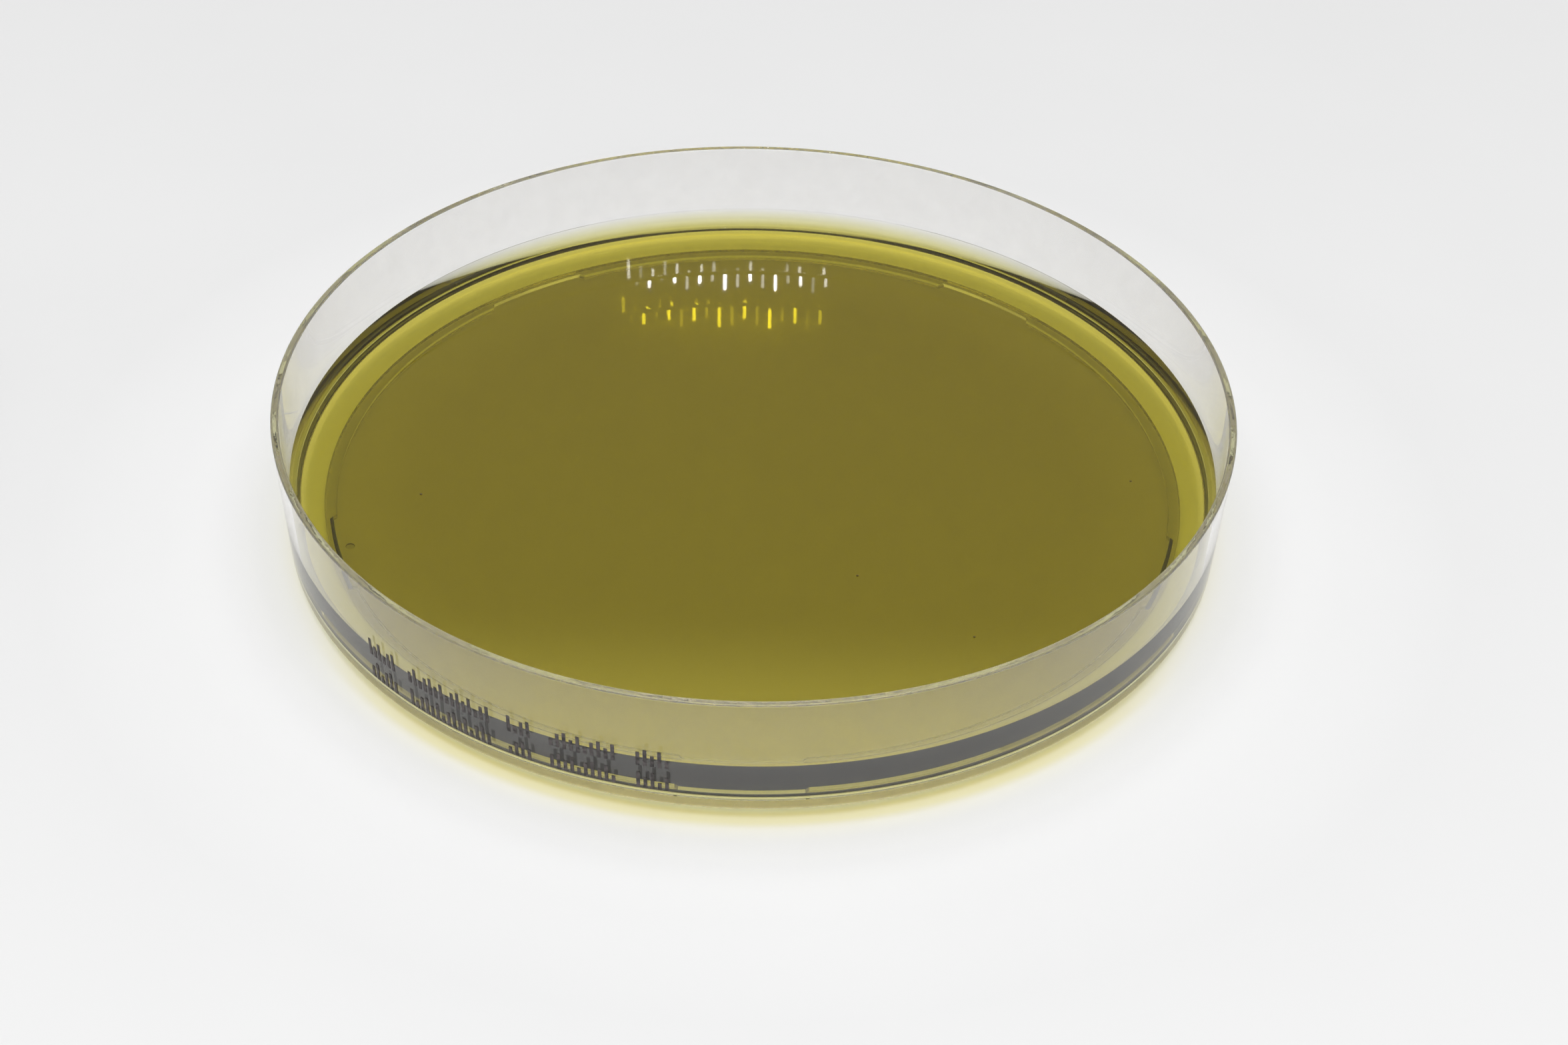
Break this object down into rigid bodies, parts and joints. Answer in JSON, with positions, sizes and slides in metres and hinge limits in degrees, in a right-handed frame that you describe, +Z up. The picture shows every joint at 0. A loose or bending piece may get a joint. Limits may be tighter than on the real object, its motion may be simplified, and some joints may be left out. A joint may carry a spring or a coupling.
{
  "type": "petri dish",
  "caption": "Shallow round clear plastic culture dish with drafted walls, holding a flat layer of olive agar, with its loose overlapping lid laid top-down beside it.",
  "frame": {"origin": "centre of the dish's foot ring, on the surface that the dish stands on", "axes": "+Z up along the dish's axis, -Y to the front, where one open notch of the foot ring faces, and -X towards the lid laid beside the dish"},
  "size_m": [0.2149, 0.0918, 0.013],
  "materials": {
    "clear_polystyrene": "polished",
    "agar": "gloss",
    "ink": "matte"
  },
  "bodies": {
    "base": {"dish_base": "clear_polystyrene", "agar_medium": "agar", "wall_print": "ink"},
    "lid": {"lid": "clear_polystyrene"}
  },
  "joints": [
    {"name": "lid_turn", "type": "hinge", "parent": "base", "child": "lid", "pos_m": [-0.0625, 0, 0.00747], "axis": [0, 1, 0], "range_deg": [0, 180]}
  ]
}
